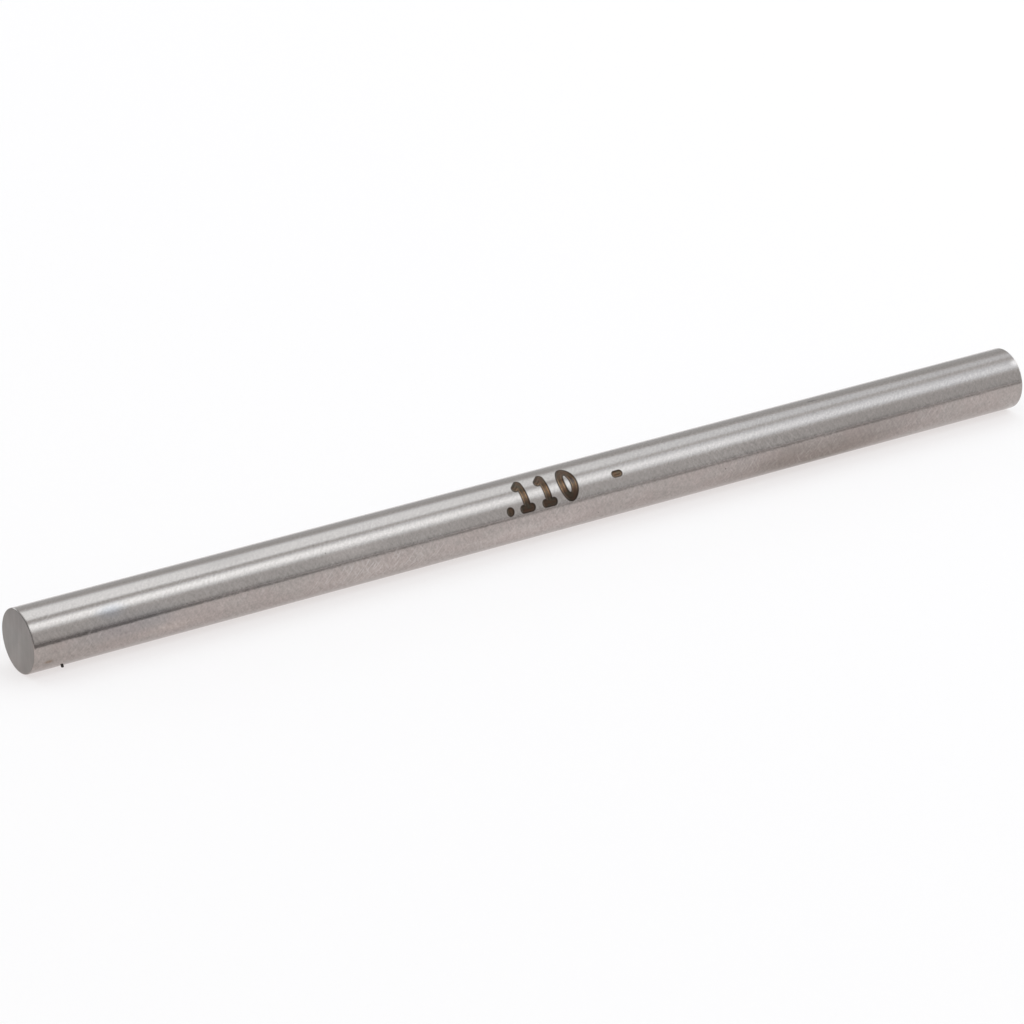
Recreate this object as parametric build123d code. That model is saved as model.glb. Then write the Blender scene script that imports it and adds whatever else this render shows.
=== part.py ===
from build123d import *
import math
import os

# Pin gauge: one plain rod of hardened steel, ground to a single size from end to end and
# marked with that size. It lies along X with its middle at the origin, and +Z is up.
# Sizes are in millimetres. The mark gives the pin's size in inches.
MM_PER_INCH = 25.4

# The pin
pin_diameter = 2.794        # 0.110 inch, the size that the pin checks
pin_length = 50.8           # two inches
edge_radius = 0.06          # the rim of each end, rubbed round so that it carries no burr

# The mark: flat lettering burned in by a beam that points straight at the pin's axis
mark_angle = 47.5           # degrees that the beam comes from, up from the -Y side
mark_start = -2.38          # centre of the first character, along the pin
mark_depth = 0.02
pen_width = 0.32            # width of every burned stroke

# Characters, measured along the middle of their strokes
digit_width = 0.594
digit_height = 1.164
digit_pitch = 1.127         # from a digit's centre to the next character's
point_diameter = 0.375
point_pitch = 0.882         # from the decimal point's centre to the next digit's
flag_width = 0.25           # the short stroke at the top of a 1, to its left and down
flag_height = 0.20
foot_length = 0.43          # the bar under a 1
sign_gap = 1.37             # extra room before the tolerance sign
sign_length = 0.235         # the minus sign of a pin that is made on the small side
sign_drop = 0.15            # how far below the digits' middle it sits

pin_radius = pin_diameter / 2
over = pin_radius / 10      # how far the cutting shapes stand proud of the surface


def straight(start, end):
    """A straight stroke between two points, with round ends."""
    run = Vector(end) - Vector(start)
    middle = (Vector(start) + Vector(end)) / 2
    turn = math.degrees(math.atan2(run.Y, run.X))
    return Pos(middle.X, middle.Y) * Rot(0, 0, turn) * SlotCenterToCenter(run.length, pen_width)


def loop(centre, half_width, half_height):
    """A stroke all the way round an oval."""
    half_pen = pen_width / 2
    outside = Ellipse(half_width + half_pen, half_height + half_pen)
    inside = Ellipse(half_width - half_pen, half_height - half_pen)
    return Pos(*centre) * (outside - inside)


def bow(centre, half_width, half_height, start, turn):
    """A stroke along part of an oval, from an angle and through a turn, with round ends."""
    path = EllipticalCenterArc(centre, half_width, half_height, start, arc_size=turn)
    ends = [Pos(path @ 0) * Circle(pen_width / 2), Pos(path @ 1) * Circle(pen_width / 2)]
    return trace(path, pen_width) + ends


def digit(figure):
    """One digit about its own centre, as a single-stroke engraving letter draws it."""
    w = digit_width / 2
    h = digit_height / 2
    if figure == "0":
        strokes = [loop((0, 0), w, h)]
    elif figure == "1":
        stem = straight((0, h), (0, -h))
        flag = straight((0, h), (-flag_width, h - flag_height))
        foot = straight((-foot_length / 2, -h), (foot_length / 2, -h))
        strokes = [stem, flag, foot]
    elif figure == "2":
        strokes = [bow((0, h / 2), w, h / 2, 170, -200), straight((0.87 * w, h / 4), (-w, -h)),
                   straight((-w, -h), (w, -h))]
    elif figure == "3":
        strokes = [bow((0, h / 2), 0.9 * w, h / 2, 160, -250), bow((0, -h / 2), w, h / 2, 90, -250)]
    elif figure == "4":
        strokes = [straight((w, h), (-w, -h / 2)), straight((-w, -h / 2), (w, -h / 2)),
                   straight((w, h), (w, -h))]
    elif figure == "5":
        strokes = [straight((w, h), (-w, h)), straight((-w, h), (-w, 0)),
                   bow((0, -0.35 * h), w, 0.65 * h, 145, -295)]
    elif figure == "6":
        strokes = [loop((0, -0.4 * h), w, 0.6 * h), bow((0.6 * w, -0.4 * h), 1.6 * w, 1.4 * h, 180, -90)]
    elif figure == "7":
        strokes = [straight((-w, h), (w, h)), straight((w, h), (-w / 3, -h))]
    elif figure == "8":
        strokes = [loop((0, h / 2), 0.85 * w, h / 2), loop((0, -h / 2), w, h / 2)]
    else:
        strokes = [loop((0, 0.4 * h), w, 0.6 * h), bow((-0.6 * w, 0.4 * h), 1.6 * w, 1.4 * h, 0, -90)]
    return strokes


def lettering():
    """The size in inches without its leading zero, then the tolerance sign, as flat artwork."""
    size_in_inches = f"{pin_diameter / MM_PER_INCH:.3f}".lstrip("0")
    base_line = -(digit_height + pen_width) / 2
    place = mark_start
    artwork = []
    for character in size_in_inches:
        if character == ".":
            artwork.append(Pos(place, base_line + point_diameter / 2) * Circle(point_diameter / 2))
            place += point_pitch
        else:
            artwork += [Pos(place, 0) * stroke for stroke in digit(character)]
            place += digit_pitch
    place += sign_gap
    sign = straight((-sign_length / 2, 0), (sign_length / 2, 0))
    artwork.append(Pos(place, -sign_drop) * sign)
    return Sketch() + artwork


def rod(radius):
    """A bar along X, as long as the pin and about the same axis."""
    return Rot(0, 90, 0) * Cylinder(radius, pin_length)


def gauge_pin():
    """The ground pin with its rims rounded and its mark burned in to one even depth."""
    body = rod(pin_radius)
    body = fillet(body.edges().filter_by(GeomType.CIRCLE), edge_radius)
    turn = math.radians(mark_angle)
    beam = Plane(origin=(0, 0, 0), x_dir=(1, 0, 0), z_dir=(0, -math.cos(turn), math.sin(turn)))
    burned = extrude(beam * lettering(), pin_radius + over)
    skin = rod(pin_radius + over) - rod(pin_radius - mark_depth)
    return body - (burned & skin)


os.makedirs("parts", exist_ok=True)
export_step(gauge_pin().solid(), "parts/gauge_pin.step")
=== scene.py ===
import math

import bmesh
import bpy
import numpy as np
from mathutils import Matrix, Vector


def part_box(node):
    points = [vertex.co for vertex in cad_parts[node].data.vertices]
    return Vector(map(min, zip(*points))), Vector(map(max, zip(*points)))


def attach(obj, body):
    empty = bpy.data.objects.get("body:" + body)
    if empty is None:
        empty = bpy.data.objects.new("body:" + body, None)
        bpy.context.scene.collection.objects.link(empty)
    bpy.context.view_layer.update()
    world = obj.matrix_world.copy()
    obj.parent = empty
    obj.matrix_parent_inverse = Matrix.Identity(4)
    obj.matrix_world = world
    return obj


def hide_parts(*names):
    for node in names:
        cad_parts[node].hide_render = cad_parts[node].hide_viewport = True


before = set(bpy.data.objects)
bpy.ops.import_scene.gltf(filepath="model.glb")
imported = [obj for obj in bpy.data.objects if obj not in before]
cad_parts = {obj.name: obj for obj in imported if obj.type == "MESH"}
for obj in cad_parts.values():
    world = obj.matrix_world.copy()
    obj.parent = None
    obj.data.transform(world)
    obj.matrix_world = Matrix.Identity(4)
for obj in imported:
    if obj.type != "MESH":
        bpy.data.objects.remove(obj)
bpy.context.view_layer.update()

# The ground pin: one rod of hardened steel, ground between wheels to a single size, with its ends
# lapped flat and its rims rubbed round. Its size is burned into its side by a pulsed beam that
# points at the axis, and that fills each stroke with a few passes side by side.
lowest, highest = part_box("gauge_pin")
mm = 0.001
pin_length = (highest.x - lowest.x) / mm
pin_radius = (highest.z - lowest.z) / mm / 2
rim_radius = 0.06

# The mark as flat artwork, in mm: places run along the pin and up from the digits' middle
mark_angle = math.radians(47.5)
mark_depth = 0.02
half_stroke = 0.16
pass_pitch = 0.1
pass_ridge = 0.006
burned_edge = 0.06
point_centre = (-2.38, -0.5545)
point_radius = 0.1875
one_places = (-1.498, -0.371)
digit_top = 0.582
flag_end = (-0.25, 0.382)
half_foot = 0.215
zero_place = 0.756
zero_half_width = 0.297
sign_centre = (3.253, -0.15)
half_sign = 0.1175


def to_segment(across, up, start, end):
    """How far a place on the artwork is from a straight line between two points."""
    run = (end[0] - start[0], end[1] - start[1])
    length = run[0] ** 2 + run[1] ** 2
    share = ((across - start[0]) * run[0] + (up - start[1]) * run[1]) / length
    share = np.clip(share, 0, 1)
    return np.hypot(across - start[0] - share * run[0], up - start[1] - share * run[1])


def outside_oval(across, up, half_width, half_height):
    """How far a place is outside an oval about the origin, and below zero inside it."""
    near = np.hypot(across / half_width, up / half_height)
    steep = np.hypot(across / half_width ** 2, up / half_height ** 2)
    return near * (near - 1) / np.maximum(steep, 1e-6)


def inside_stroke(along, angle):
    """How deep inside a burned stroke a place on the pin's side is, in mm, below zero outside."""
    up = pin_radius * np.sin(angle - mark_angle)
    deepest = point_radius - np.hypot(along - point_centre[0], up - point_centre[1])
    for place in one_places:
        across = along - place
        stem = to_segment(across, up, (0, digit_top), (0, -digit_top))
        flag = to_segment(across, up, (0, digit_top), flag_end)
        foot = to_segment(across, up, (-half_foot, -digit_top), (half_foot, -digit_top))
        deepest = np.maximum(deepest, half_stroke - np.minimum(np.minimum(stem, flag), foot))
    across = along - zero_place
    outer = outside_oval(across, up, zero_half_width + half_stroke, digit_top + half_stroke)
    inner = outside_oval(across, up, zero_half_width - half_stroke, digit_top - half_stroke)
    deepest = np.maximum(deepest, np.minimum(-outer, inner))
    left = (sign_centre[0] - half_sign, sign_centre[1])
    right = (sign_centre[0] + half_sign, sign_centre[1])
    sign = half_stroke - to_segment(along, up, left, right)
    deepest = np.maximum(deepest, sign)
    behind = np.cos(angle - mark_angle) < 0
    return np.where(behind, -1.0, deepest)


def burned_depth(inside):
    """The groove under a stroke: a short slope at its edge and a low ridge beside each pass."""
    slope = np.clip(inside / burned_edge, 0, 1)
    slope = slope * slope * (3 - 2 * slope)
    ridge = 0.5 - 0.5 * np.cos(2 * math.pi * inside / pass_pitch)
    return slope * (mark_depth - pass_ridge * ridge)


# The pin's rings from end to end, close together under the mark and at the rims. Each run of rings
# on the side says where it starts and ends, and how many it has.
flat_end = pin_length / 2 - rim_radius
ring_runs = (
    (-flat_end + 0.03, -flat_end + 0.03, 1),
    (-flat_end + 0.3, -2.65, 36),
    (-2.6, 1.25, 276),
    (1.3, 2.9, 5),
    (2.94, 3.556, 45),
    (3.6, flat_end - 0.3, 36),
    (flat_end - 0.03, flat_end - 0.03, 1),
)
side_along = [place for run in ring_runs for place in np.linspace(*run)]
rim_turns = [math.radians(turn) for turn in range(0, 91, 15)]
rim_along = [-pin_length / 2 + rim_radius * (1 - math.sin(turn)) for turn in rim_turns]
rim_out = [pin_radius - rim_radius * (1 - math.cos(turn)) for turn in rim_turns]
end_out = [0.35, 0.7, 1.0, 1.2, pin_radius - rim_radius - 0.02]
along = [-pin_length / 2] * len(end_out) + rim_along[::-1] + side_along
along += [-place for place in rim_along] + [pin_length / 2] * len(end_out)
out = end_out + rim_out[::-1] + [pin_radius] * len(side_along) + rim_out + end_out[::-1]

# Angles round the pin, in degrees up from its front: close together under the mark
mark_low = 14.0
mark_high = 81.0
mark_step = 0.014
mark_angles = np.arange(mark_low, mark_high, math.degrees(mark_step / pin_radius))
other_angles = np.linspace(mark_high, mark_low + 360, 66)[:-1]
angles = np.radians([*mark_angles, *other_angles])

place, angle = np.meshgrid(np.array(along), angles, indexing="ij")
inside = inside_stroke(place, angle)
reach = np.array(out)[:, None] - burned_depth(inside)
grid = np.stack([place, -reach * np.cos(angle), reach * np.sin(angle)], axis=-1) * mm
columns, rows = place.shape
points = [*grid.reshape(-1, 3).tolist(), (-pin_length / 2 * mm, 0, 0), (pin_length / 2 * mm, 0, 0)]
near_centre = columns * rows
far_centre = near_centre + 1
faces = []
for column in range(columns - 1):
    for row in range(rows):
        here = column * rows + row
        above = column * rows + (row + 1) % rows
        faces.append((here, here + rows, above + rows, above))
for row in range(rows):
    above = (row + 1) % rows
    faces.append((near_centre, row, above))
    faces.append((far_centre, near_centre - rows + above, near_centre - rows + row))

pin_mesh = bpy.data.meshes.new("ground_pin")
pin_mesh.from_pydata(points, [], faces)
pin_mesh.polygons.foreach_set("use_smooth", [True] * len(faces))

# How deep inside a stroke each point lies, kept on the mesh for the burn's colours
burned_limit = 0.3
burned_values = np.clip(inside, -burned_limit, burned_limit).ravel().tolist()
burned = pin_mesh.attributes.new("burned", "FLOAT", "POINT")
burned.data.foreach_set("value", [*burned_values, -burned_limit, -burned_limit])

# The pin unrolled as two long strips, with the mark whole in the second, and its ends as two discs
map_scale = 1 / 28.9
strip_gap = 0.008
strip_split = -2.7
disc_gap = 0.1
near_disc_u = 0.06
far_disc_u = 0.2
strip_height = 2 * math.pi * pin_radius * map_scale + strip_gap
disc_v = 2 * strip_height + (pin_radius + disc_gap) * map_scale + strip_gap
first_side = len(end_out)
last_side = columns - len(end_out) - 1
second_strip = next(column for column in range(columns) if along[column] > strip_split)
run = np.concatenate([[0], np.cumsum(np.hypot(np.diff(along), np.diff(out)))])
turned = np.append(angles, angles[0] + 2 * math.pi)
column, row = np.meshgrid(np.arange(columns - 1), np.arange(rows), indexing="ij")
corner_column = np.stack([column, column + 1, column + 1, column], axis=-1)
corner_row = np.stack([row, row, row + 1, row + 1], axis=-1)
in_second = np.repeat((column >= second_strip)[..., None], 4, axis=-1)
strip_start = np.where(in_second, run[second_strip], run[first_side])
side_u = (run[corner_column] - strip_start) * map_scale + strip_gap
side_v = (turned[corner_row] - angles[0]) * pin_radius * map_scale + strip_gap
side_v = side_v + in_second * strip_height
on_far_end = np.repeat((column >= last_side)[..., None], 4, axis=-1)
disc_u = np.where(on_far_end, far_disc_u, near_disc_u)
spread = np.array(out)[corner_column] * map_scale
end_u = disc_u + spread * np.cos(turned[corner_row])
end_v = disc_v + spread * np.sin(turned[corner_row])
on_side = np.repeat(((column >= first_side) & (column < last_side))[..., None], 4, axis=-1)
corners = np.stack([np.where(on_side, side_u, end_u), np.where(on_side, side_v, end_v)], axis=-1)
fans = []
for row in range(rows):
    for centre, first, second in ((near_disc_u, row, row + 1), (far_disc_u, row + 1, row)):
        fans.append((centre, disc_v))
        for turn in (turned[first], turned[second]):
            fans.append((centre + out[0] * map_scale * math.cos(turn),
                         disc_v + out[0] * map_scale * math.sin(turn)))
unrolled = pin_mesh.uv_layers.new(name="OFBake")
unrolled.data.foreach_set("uv", [*corners.ravel().tolist(), *np.array(fans).ravel().tolist()])


def put_in_scene(name, mesh):
    """A new object that shows a mesh."""
    made = bpy.data.objects.new(name, mesh)
    bpy.context.scene.collection.objects.link(made)
    return made


class Wire:
    """A shader socket as a value: sums on it add Math nodes, and node() adds any other node."""

    def __init__(self, tree, socket=None):
        self.tree = tree
        self.socket = socket

    def node(self, kind, settings=None, sockets=None, output=0):
        made = self.tree.nodes.new(kind)
        for name, value in (settings or {}).items():
            setattr(made, name, value)
        for name, value in (sockets or {}).items():
            if isinstance(value, Wire):
                self.tree.links.new(value.socket, made.inputs[name])
            else:
                made.inputs[name].default_value = value
        return Wire(self.tree, made.outputs[output])

    def beside(self, output):
        """Another output of the node that this value comes from."""
        return Wire(self.tree, self.socket.node.outputs[output])

    def feed(self, shader, name):
        """Leads this value to one of a shader's own sockets."""
        self.tree.links.new(self.socket, shader.inputs[name])

    def math(self, operation, *values):
        return self.node("ShaderNodeMath", {"operation": operation}, dict(enumerate(values)))

    def __add__(self, other):
        return self.math("ADD", self, other)

    def __radd__(self, other):
        return self.math("ADD", other, self)

    def __sub__(self, other):
        return self.math("SUBTRACT", self, other)

    def __rsub__(self, other):
        return self.math("SUBTRACT", other, self)

    def __mul__(self, other):
        return self.math("MULTIPLY", self, other)

    def __rmul__(self, other):
        return self.math("MULTIPLY", other, self)

    def __pow__(self, other):
        return self.math("POWER", self, other)

    def larger(self, other):
        return self.math("MAXIMUM", self, other)

    def rise(self, low, high):
        """0 below low, 1 above high, and an even curve between them."""
        settings = {"interpolation_type": "SMOOTHSTEP"}
        sockets = {"Value": self, "From Min": low, "From Max": high}
        return self.node("ShaderNodeMapRange", settings, sockets)

    def tint(self, colour, other, blend="MIX"):
        """colour where this value is 0 and other laid over it where it is 1."""
        settings = {"data_type": "RGBA", "blend_type": blend}
        return self.node("ShaderNodeMix", settings, {0: self, 6: colour, 7: other}, 2)

    def noise(self, place, turns, detail=2.0, roughness=0.5):
        """Even noise about 0.5 at a place, with so many turns per mm along each of its axes."""
        squeezed = self.node("ShaderNodeVectorMath", {"operation": "MULTIPLY"}, {0: place, 1: turns})
        sockets = {"Vector": squeezed, "Scale": 1.0, "Detail": detail, "Roughness": roughness}
        return self.node("ShaderNodeTexNoise", {}, sockets)


def new_finish(mesh, name):
    """A new material on a mesh: its main shader, and a wire to work out its values with."""
    finish = bpy.data.materials.new(name)
    finish.use_nodes = True
    mesh.materials.append(finish)
    return finish.node_tree.nodes["Principled BSDF"], Wire(finish.node_tree)


# The steel's colours, the tints of what lies on it or was burned into it, and colours for painted
# shade on its ends and painted glints on its mark
steel_colour = (0.410, 0.361, 0.341, 1)
# The ends' colour, painted darker than the side's as shade
end_colour_and_shade = (0.236, 0.215, 0.204, 1)
film_tint = (0.972, 0.995, 0.995, 1)
pit_tint = (0.25, 0.22, 0.20, 1)
scratch_colour = (0.62, 0.575, 0.56, 1)
scratch_cover = 0.48
oxide_edge = (0.036, 0.025, 0.019, 1)
oxide_brown = (0.079, 0.046, 0.032, 1)
oxide_olive = (0.059, 0.049, 0.037, 1)
# The copper of the painted glints along the burned passes
copper_glint_colour = (0.44, 0.25, 0.13, 1)
foot_tint = (0.76, 0.77, 0.80, 1)
temper_tint = (0.70, 0.86, 1.15, 1)

# Finger marks, stains and lighter patches, and a painted highlight on the far rim: place along,
# degrees up, half length and half height in mm, and tint
stains_and_highlight = (
    (-24.70, -25, 0.23, 0.10, (0.78, 0.68, 0.58, 1)),
    (-24.3, -8, 3.0, 1.6, (0.94, 0.93, 0.92, 1)),
    (-21.7, 37, 0.8, 0.36, (0.90, 0.95, 1.02, 1)),
    (-21.3, 7, 2.9, 0.62, (0.84, 0.86, 0.89, 1)),
    (-18.8, -20, 1.8, 0.28, (1.11, 1.10, 1.09, 1)),
    (-15.8, 73, 2.0, 0.28, (0.90, 0.90, 0.90, 1)),
    (-13.8, -14, 3.4, 1.3, (0.94, 0.94, 0.94, 1)),
    (-11.0, -18, 9.0, 0.55, (1.10, 1.10, 1.10, 1)),
    (-10.2, 30, 1.8, 0.2, (1.16, 1.16, 1.16, 1)),
    (-1.3, -22, 4.8, 0.45, (1.20, 1.20, 1.21, 1)),
    (12.0, -9, 3.2, 0.42, (0.92, 0.92, 0.92, 1)),
    (13.0, 6, 11.0, 0.3, (0.94, 0.93, 0.93, 1)),
    (13.4, -34, 5.5, 1.1, (0.73, 0.70, 0.675, 1)),
    (14.3, -42, 2.5, 0.45, (0.78, 0.77, 0.73, 1)),
    (14.4, 88, 0.35, 0.08, (0.72, 0.72, 0.72, 1)),
    (17.6, -2, 4.2, 0.65, (0.885, 0.88, 0.88, 1)),
    # A painted highlight: the far rim's glint, painted as a spot lighter than the bare steel
    (25.3, 52, 0.30, 0.20, (1.5, 1.5, 1.5, 1)),
)

# Small pits: place along, degrees up and radius in mm
pits = (
    (-11.5, 38, 0.018),
    (2.14, -23, 0.025),
    (6.4, 57, 0.018),
    (8.8, -2, 0.03),
    (12.5, -41, 0.03),
    (14.2, 8, 0.018),
)

# Where a point of the pin is, in mm: along, back and up, and round the side from its top
steel_shader, wire = new_finish(pin_mesh, "ground_steel")
local = wire.node("ShaderNodeTexCoord", output=3)
place_mm = wire.node("ShaderNodeVectorMath", {"operation": "SCALE"}, {0: local, "Scale": 1 / mm})
x_mm = wire.node("ShaderNodeSeparateXYZ", sockets={0: place_mm})
y_mm = x_mm.beside(1)
z_mm = x_mm.beside(2)
round_mm = wire.math("ARCTAN2", y_mm, z_mm) * pin_radius
on_end = wire.math("ABSOLUTE", x_mm).rise(pin_length / 2 - 0.02, pin_length / 2 - 0.001)
inside_mm = wire.node("ShaderNodeAttribute", {"attribute_name": "burned"}, output=2)


def slanted(degrees):
    """The pin's unrolled side, with its first axis turned up from the pin's length."""
    slant = math.radians(degrees)
    length = x_mm * math.cos(slant) + round_mm * math.sin(slant)
    across = round_mm * math.cos(slant) - x_mm * math.sin(slant)
    return wire.node("ShaderNodeCombineXYZ", sockets={0: length, 1: across})


def near_to(along_pin, degrees_up, half_long, half_round):
    """How far from a place on the side, as a share of an oval round it."""
    out_long = (x_mm - along_pin) * (1 / half_long)
    out_round = (round_mm - math.radians(degrees_up - 90) * pin_radius) * (1 / half_round)
    return (out_long * out_long + out_round * out_round) ** 0.5


# Where the pin is worn: its low side, which is also painted a little darker as shade, the end that
# fingers hold, the side and the patch that have been rubbed, and its top, which is still smooth to the
# left of the mark
low_side = 1 - z_mm.rise(0.15, 0.75)
handled = x_mm.rise(-20.0, 12.0)
rubbed_side = 1 - z_mm.rise(0.5, 0.95)
rubbed_patch = 1 - near_to(10.5, 19, 4.6, 0.45).rise(0.5, 1.3)
smooth_top = z_mm.rise(1.22, 1.31) * (1 - x_mm.rise(-6.0, 2.0))
roughened = 1 - 0.4 * smooth_top

# The grinding: marks round the pin, a slanting hatch from its slow feed, and a fine grain. Rubbing
# has laid marks across the hatch, weaker right of the digits, and handling has left soft clouds.
coarse_marks = wire.noise(place_mm, (8.0, 0.6, 0.6), detail=3.0, roughness=0.6)
fine_marks = wire.noise(place_mm, (26.0, 1.5, 1.5), roughness=0.6)
hatch = wire.noise(slanted(45), (3.5, 10.0, 0.0), detail=3.0, roughness=0.6)
grain = wire.noise(place_mm, (10.0, 10.0, 10.0), detail=3.0, roughness=0.65)
cloud = wire.noise(place_mm, (0.35, 0.6, 0.6), detail=3.0)
crossed = wire.noise(slanted(-58), (2.4, 7.0, 0.0), detail=3.0, roughness=0.6) - 0.5
crossed = crossed * rubbed_side.larger(rubbed_patch * 1.9)
crossed = crossed * (0.52 - 0.15 * x_mm.rise(-4.0, 5.0))

# Scratches from being drawn across a bench: short, pale, slanting and in patches
drawn_up = wire.noise(slanted(52), (1.9, 13.0, 0.0), detail=1.5).rise(0.52, 0.70)
drawn_down = wire.noise(slanted(-55), (1.9, 12.0, 0.0), detail=1.5).rise(0.54, 0.72)
scratch_lines = drawn_up.larger(drawn_down * 0.8)
faint_patch = wire.noise(place_mm, (0.3, 0.5, 0.5), detail=1.0).rise(0.38, 0.60)
faint_patch = faint_patch * (0.2 + 0.3 * low_side)
worn_patch = 1 - near_to(-9.0, -14, 4.4, 0.85).rise(0.4, 1.2)
scratches = scratch_lines * faint_patch.larger(worn_patch) * (1 - on_end)

# The lapped ends carry fine straight lines and soft clouds
lapping = wire.noise(place_mm, (0.0, 3.4, 0.35), detail=3.0, roughness=0.6)
end_cloud = wire.noise(place_mm, (0.0, 1.3, 0.9))

# How bright the bare steel is: an even part, what each kind of mark adds to it, and a little painted
# shade on the low side
side_tone = 0.91 + 0.26 * (hatch - 0.5) * roughened + 0.05 * coarse_marks + 0.10 * cloud + crossed
side_tone = side_tone + (grain - 0.5) * roughened * (0.34 + 0.20 * low_side) - 0.015 * low_side
# The ends' tone: lapping lines and clouds, and painted shade that makes them darker towards their top
# and lighter towards their bottom
end_tone_and_shade = 0.68 + 0.45 * lapping + 0.34 * end_cloud - 0.11 * z_mm
tone = side_tone * (1 - on_end) + end_tone_and_shade * on_end
tone_colour = wire.node("ShaderNodeCombineColor", sockets={0: tone, 1: tone, 2: tone})
bare = on_end.tint(steel_colour, end_colour_and_shade)
bare = wire.node("ShaderNodeMix", {"data_type": "RGBA", "blend_type": "MULTIPLY"},
                 {0: 1.0, 6: bare, 7: tone_colour}, 2)

# What lies on the bare steel: stains with soft uneven edges and the painted highlight, a thin film,
# pits and scratches
for along_pin, degrees_up, half_long, half_round, stain_and_highlight_tint in stains_and_highlight:
    spread = near_to(along_pin, degrees_up, half_long, half_round)
    stain_and_highlight = (1.25 - spread + 0.7 * (cloud - 0.5)).rise(0.0, 1.1)
    bare = stain_and_highlight.tint(bare, stain_and_highlight_tint, "MULTIPLY")
film = wire.noise(place_mm, (0.7, 1.2, 1.2)).rise(0.38, 0.62) * low_side
bare = film.tint(bare, film_tint, "MULTIPLY")
for along_pin, degrees_up, pit_radius in pits:
    pit = 1 - near_to(along_pin, degrees_up, pit_radius, pit_radius).rise(0.5, 1.5)
    bare = pit.tint(bare, pit_tint, "MULTIPLY")
bare = (scratches * scratch_cover).tint(bare, scratch_colour)

# The burn: brown oxide, darkest along the edge of a stroke, with painted copper glints along each
# pass. Its tint spreads a little past the digits' grooves, most round the zero, whose foot is burned
# darkest and whose right side is tempered blue.
on_sign = x_mm.rise(1.6, 2.6)
on_point = 1 - x_mm.rise(-2.2, -2.0)
on_zero = x_mm.rise(0.08, 0.2) * (1 - on_sign)
on_digits = (1 - on_sign) * (1 - on_point)
tint_spread = 0.012
tinted_mm = inside_mm + tint_spread * on_digits + tint_spread * on_zero
burn = tinted_mm.rise(-0.027, 0.017)
inner = tinted_mm.rise(0.0, 0.07)
heat = wire.noise(place_mm, (5.0, 5.0, 5.0), detail=3.0, roughness=0.65).rise(0.36, 0.64)
oxide = inner.tint(oxide_edge, heat.tint(oxide_brown, oxide_olive))
middle_mm = round_mm - (mark_angle - math.pi / 2) * pin_radius
zero_foot = on_zero * (1 - middle_mm.rise(-0.75, -0.35))
oxide = zero_foot.tint(oxide, foot_tint, "MULTIPLY")

# Painted glints: copper painted along each pass, brightest halfway up the digits, and painted evenly
# on the sign and the point
passes = 0.5 + 0.5 * wire.math("COSINE", (inside_mm - 0.07) * (2 * math.pi / pass_pitch))
glint_halfway = (1.1 - wire.math("ABSOLUTE", middle_mm - 0.03).rise(0.08, 0.55)) * (1 - on_sign)
painted_glint = (passes ** 2.5 * inner * glint_halfway * (grain * 2.5 - 0.3)).rise(0.05, 2.1)
painted_glint = painted_glint + glint_halfway * inner * 0.042
painted_glint = painted_glint.larger((on_sign * 0.085 + on_point * 0.05) * inner)
oxide = painted_glint.tint(oxide, copper_glint_colour)
tempered = 1 - near_to(1.04, 51, 0.13, 0.18).rise(0.4, 1.2)
oxide = tempered.tint(oxide, temper_tint, "MULTIPLY")
burn.tint(bare, oxide).feed(steel_shader, "Base Color")

burned_rough = 0.17
bare_rough = 0.085 + 0.06 * grain + 0.04 * cloud + 0.15 * scratches + 0.22 * on_end
steel_rough = bare_rough * (1 - burn) + burned_rough * burn
steel_rough.feed(steel_shader, "Roughness")
steel_shader.inputs["Metallic"].default_value = 1.0

# The marks' relief: how deep each kind is, as a share of the deepest
deepest_mark = 0.004 * mm
relief = 0.2 * coarse_marks + 0.25 * fine_marks + hatch * (0.1 + 0.35 * handled)
relief = relief + grain * (0.4 + 0.35 * handled) + 0.7 * crossed - 0.5 * scratches
relief = relief * roughened * (1 - on_end) + lapping * on_end
bump = wire.node("ShaderNodeBump", {}, {"Strength": 1.0, "Distance": deepest_mark, "Height": relief})
bump.feed(steel_shader, "Normal")

ground_pin = put_in_scene("ground_pin", pin_mesh)
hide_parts("gauge_pin")
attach(ground_pin, "root")

# A crumb of dried cutting oil and dust that hangs low on the pin's side, near its left end. It is a
# small uneven lump, stuck on by its own oil.
crumb_along = -23.87
crumb_turn = math.radians(-54)
crumb_out = pin_radius + 0.04
crumb_half = (0.050, 0.058, 0.068)
crumb_colours = ((0.020, 0.016, 0.012, 1), (0.075, 0.060, 0.045, 1))
dust_turns = 40 / mm

crumb_height = crumb_out * math.sin(crumb_turn)
crumb_centre = Vector((crumb_along, -crumb_out * math.cos(crumb_turn), crumb_height))
crumb_shape = bmesh.new()
bmesh.ops.create_icosphere(crumb_shape, subdivisions=4, radius=1)
for point in crumb_shape.verts:
    x, y, z = point.co
    lumps = 0.16 * math.sin(5 * x + 2 * y)
    lumps += 0.12 * math.sin(7 * y - 3 * z)
    lumps += 0.07 * math.sin(13 * z + 9 * x)
    swollen = point.co * (1 + lumps)
    point.co = (crumb_centre + Vector([half * part for half, part in zip(crumb_half, swollen)])) * mm
crumb_mesh = bpy.data.meshes.new("oil_crumb")
crumb_shape.to_mesh(crumb_mesh)
crumb_shape.free()
crumb_mesh.polygons.foreach_set("use_smooth", [True] * len(crumb_mesh.polygons))

crumb_shader, wire = new_finish(crumb_mesh, "oily_dust")
local = wire.node("ShaderNodeTexCoord", output=3)
dust = wire.noise(local, (dust_turns, dust_turns, dust_turns), detail=3.0, roughness=0.6)
dust.rise(0.35, 0.7).tint(*crumb_colours).feed(crumb_shader, "Base Color")
(0.35 + 0.4 * dust).feed(crumb_shader, "Roughness")

oil_crumb = put_in_scene("oil_crumb", crumb_mesh)
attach(oil_crumb, "root")

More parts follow.
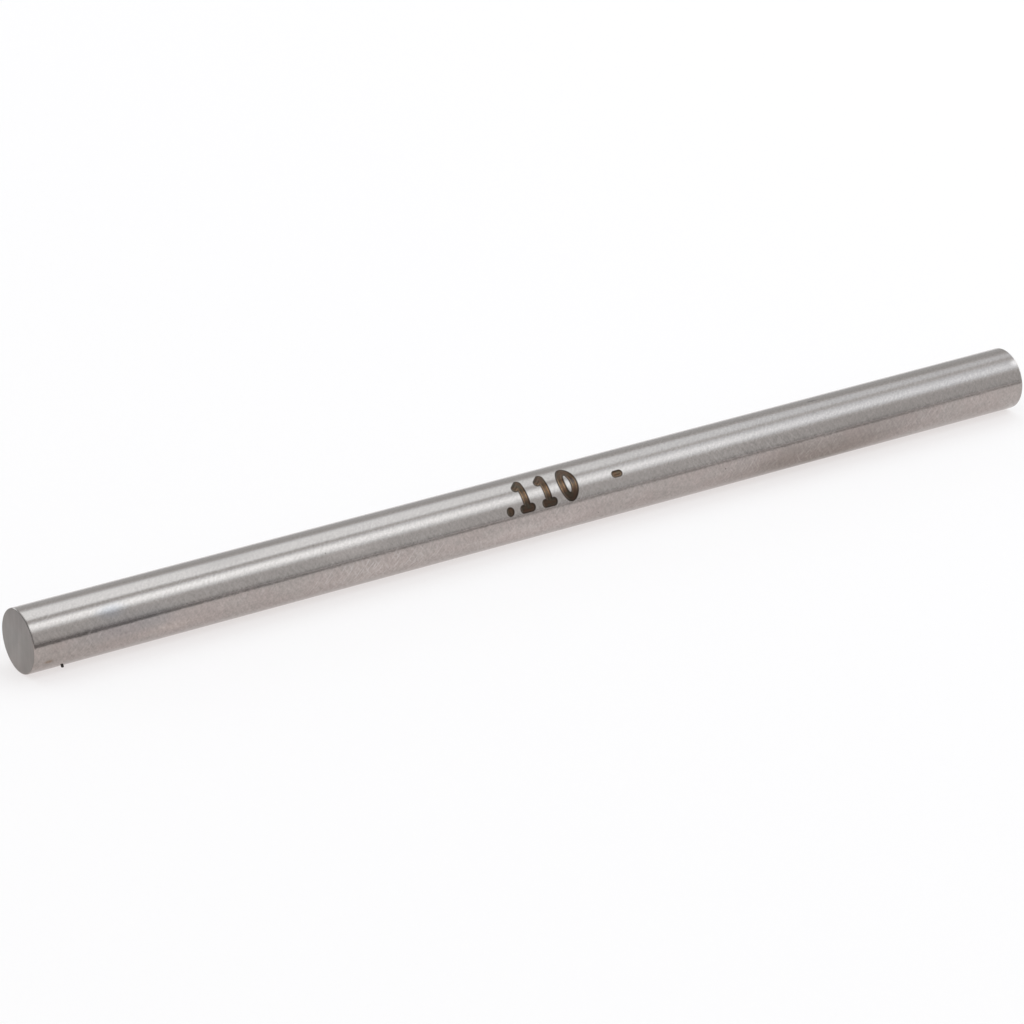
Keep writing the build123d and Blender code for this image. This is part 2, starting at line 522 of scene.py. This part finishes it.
# The bench: a plain white board that the pin lies on. It glows a little to the lens and in
# the steel, so that it is white there too, and keeps the pin's soft shadow.
half_board = 0.8
board_white = (0.36, 0.36, 0.36, 1)
board_glow = (0.650, 0.620, 0.615, 1)
no_glow = (0, 0, 0, 1)
matt_rough = 0.9


def watched(wire):
    """1 on a ray from the lens, also by way of a mirror or through glass, and 0 on any other."""
    seen = wire.node("ShaderNodeLightPath")
    return seen.larger(seen.beside("Is Glossy Ray")).larger(seen.beside("Is Transmission Ray"))


board_corners = [(-half_board, -half_board, 0), (half_board, -half_board, 0),
                 (half_board, half_board, 0), (-half_board, half_board, 0)]
board_mesh = bpy.data.meshes.new("bench_board")
board_mesh.from_pydata(board_corners, [], [(0, 1, 2, 3)])
board_shader, wire = new_finish(board_mesh, "board_paint")
board_shader.inputs["Base Color"].default_value = board_white
board_shader.inputs["Roughness"].default_value = matt_rough
board_shader.inputs["Specular IOR Level"].default_value = 0.0
board_shader.inputs["Emission Strength"].default_value = 1.0
watched(wire).tint(no_glow, board_glow).feed(board_shader, "Emission Color")

bench_board = put_in_scene("bench_board", board_mesh)
bench_board.location.z = lowest.z

# A strip of dark card that stands on the bench before the pin, to draw the dark line along its side.
# It is kept out of the picture and of the board's light, so that only the steel mirrors it. It is
# bent twice, and faded to the right.

# At each bend, in mm: its place along the pin and back from it, and how high its top edge is
card_bends = ((-60, -9.5, 0.25), (-19, -9.5, 0.25), (-5, -12.5, -0.15), (100, -12.5, -0.1))
card_dark = (0.50, 0.47, 0.46, 1)
card_faded = (0.72, 0.67, 0.65, 1)
fade_start = -16 * mm
fade_end = 8 * mm

card_points = []
for spot, back, top in card_bends:
    card_points.append((spot * mm, back * mm, lowest.z))
    card_points.append((spot * mm, back * mm, top * mm))
card_mesh = bpy.data.meshes.new("dark_card")
card_mesh.from_pydata(card_points, [], [(0, 2, 3, 1), (2, 4, 5, 3), (4, 6, 7, 5)])
card_shader, wire = new_finish(card_mesh, "card_paper")
along_card = wire.node("ShaderNodeSeparateXYZ", sockets={0: wire.node("ShaderNodeTexCoord", output=3)})
along_card.rise(fade_start, fade_end).tint(card_dark, card_faded).feed(card_shader, "Base Color")
card_shader.inputs["Roughness"].default_value = matt_rough

dark_card = put_in_scene("dark_card", card_mesh)
dark_card.visible_camera = False
dark_card.visible_diffuse = False
dark_card.visible_shadow = False

# The light tent: a half round of white cloth over the bench, lit from outside in two long fields
# with a slanting seam between them. The pin mirrors it as bands along its length.
tent_radius = 0.45
tent_start = -0.42
tent_end = 0.80

# The stretch of the tent that the pin mirrors, and how much further the near end's look reaches
# along it than the far end's
near_mirrored = 0.19
far_mirrored = 0.345
near_favour = 1.3

# Each row says what the pin's near end mirrors, what its far end mirrors, and how much its middle
# adds to the line between them. The plain cloth's brightness is given at the hem in front, above it,
# overhead and behind, and then the degrees up from the front between which each passes into the
# next. A field has its own brightness, and the degrees where it begins, is full, fades and is gone.
plain_cloth = ((0.36, 0.785, 0.775, 0.68), (0.50, 0.69, 0.76, 0.65), (0.35, 0.20, 0.05, 0.0))
above_hem = (0, 11)
to_roof = (20, 90)
to_back = (110, 150)
front_field = ((1.35, 37, 61, 64, 80), (0.77, 41, 66, 61, 105), (0.10, -7, 0, 4, 13))
back_field = ((0.90, 85, 94, 120, 146), (0.31, 96, 111, 119, 133), (0.05, -6, -4, 4, 9))

# A lamp low behind lights the closed end, which is dim otherwise, and daylight fills the open end
side_lamp = (1.0, 148, 156, 166, 174)
side_lamp_end = 0.12
dim_side = 0.65
dim_side_ends = (-0.02, 0.16)
open_end = (0.42, 0.52)
open_end_light = 0.8


def smooth_rise(value, low, high):
    """0 below low, 1 above high, and an even curve between them."""
    share = np.clip((value - low) / (high - low), 0, 1)
    return share * share * (3 - 2 * share)


def between(ends, share):
    """What a row gives at a share of the way from the pin's near end to its far end."""
    near, far, swell = (np.array(values, float) for values in ends)
    return near + share * (far - near) + share * (1 - share) * swell


def field_light(degrees, field):
    """A field's own light at an angle up from the front."""
    light, begins, full, fades, gone = field
    return light * smooth_rise(degrees, begins, full) * (1 - smooth_rise(degrees, fades, gone))


tent_turns = np.arange(0, 181, 2)
tent_places = np.linspace(tent_start, tent_end, 62)
tent_points = []
tent_glow = []
for spot in tent_places:
    share = min(max((spot - near_mirrored) / (far_mirrored - near_mirrored), 0), 1) ** near_favour
    hem, front, roof, back = between(plain_cloth, share)
    light = hem + (front - hem) * smooth_rise(tent_turns, *above_hem)
    light = light + (roof - front) * smooth_rise(tent_turns, *to_roof)
    light = light + (back - roof) * smooth_rise(tent_turns, *to_back)
    for field in (front_field, back_field):
        light = light + field_light(tent_turns, between(field, share))
    light = light * (dim_side + (1 - dim_side) * smooth_rise(spot, *dim_side_ends))
    if spot < side_lamp_end:
        light = light + field_light(tent_turns, side_lamp)
    light = light + open_end_light * smooth_rise(spot, *open_end)
    tent_glow += light.tolist()
    for turn in np.radians(tent_turns):
        tent_points.append((spot, -tent_radius * math.cos(turn), tent_radius * math.sin(turn)))
steps = len(tent_turns)
tent_faces = []
for column in range(len(tent_places) - 1):
    for row in range(steps - 1):
        here = column * steps + row
        tent_faces.append((here, here + 1, here + 1 + steps, here + steps))
tent_mesh = bpy.data.meshes.new("light_tent")
tent_mesh.from_pydata(tent_points, [], tent_faces)
tent_mesh.attributes.new("glow", "FLOAT", "POINT").data.foreach_set("value", tent_glow)

# The cloth only glows. Its bright places are a little cooler than its dim ones.
tent_shader, wire = new_finish(tent_mesh, "tent_cloth")
tent_shader.inputs["Base Color"].default_value = no_glow
tent_shader.inputs["Specular IOR Level"].default_value = 0.0
tent_shader.inputs["Emission Strength"].default_value = 1.0
along_tent = wire.node("ShaderNodeSeparateXYZ", sockets={0: wire.node("ShaderNodeTexCoord", output=3)})
glow = wire.node("ShaderNodeAttribute", {"attribute_name": "glow"}, output=2)
bright = glow.rise(0.7, 1.3)
cool = bright * along_tent.rise(0.27, 0.32)
red = glow * (0.965 - 0.012 * cool)
green = glow * (1.01 + 0.055 * bright)
blue = glow * (1.025 + 0.08 * bright + 0.03 * cool)
cloth_light = wire.node("ShaderNodeCombineColor", sockets={0: red, 1: green, 2: blue})
cloth_light.feed(tent_shader, "Emission Color")

light_tent = put_in_scene("light_tent", tent_mesh)
light_tent.visible_camera = False

# The tent flap: a half disc of grey cloth that closes the tent beside the pin's near end. The near
# end's face mirrors it, and the lens doesn't see it.
flap_grey = (0.45, 0.45, 0.45, 1)

flap_points = [(tent_start, 0, 0)]
for turn in np.radians(tent_turns):
    flap_points.append((tent_start, -tent_radius * math.cos(turn), tent_radius * math.sin(turn)))
flap_mesh = bpy.data.meshes.new("tent_flap")
flap_mesh.from_pydata(flap_points, [], [(0, step + 1, step + 2) for step in range(steps - 1)])
flap_shader, wire = new_finish(flap_mesh, "flap_cloth")
flap_shader.inputs["Base Color"].default_value = flap_grey
flap_shader.inputs["Roughness"].default_value = matt_rough

tent_flap = put_in_scene("tent_flap", flap_mesh)
tent_flap.visible_camera = False

# The room round the bench: plain white to the lens and in the steel, where it shows past the board.
# It lights the pin only a little, from the end that the tent leaves open.
room_white = (1, 1, 1, 1)
room_grey = (0.6, 0.6, 0.6, 1)

room = bpy.data.worlds.new("room")
room.use_nodes = True
bpy.context.scene.world = room
room_light = room.node_tree.nodes["Background"]
watched(Wire(room.node_tree)).tint(room_grey, room_white).feed(room_light, "Color")

# The camera: a long lens from the front and the left, well above the bench. It stands where the
# pin's outline falls as it does in the photograph.
camera_place = Vector((-107.457, -160.571, 85.257)) * mm
camera_aim = Vector((0.50351, 0.76285, -0.40563))
camera = put_in_scene("camera", bpy.data.cameras.new("camera"))
camera.data.sensor_width = 36
camera.data.lens = 172.586
camera.data.clip_start = 0.01
camera.data.clip_end = 10
camera.location = camera_place
camera.rotation_mode = "QUATERNION"
camera.rotation_quaternion = camera_aim.to_track_quat("-Z", "Y")
bpy.context.scene.camera = camera
bpy.context.scene.view_settings.view_transform = "Standard"
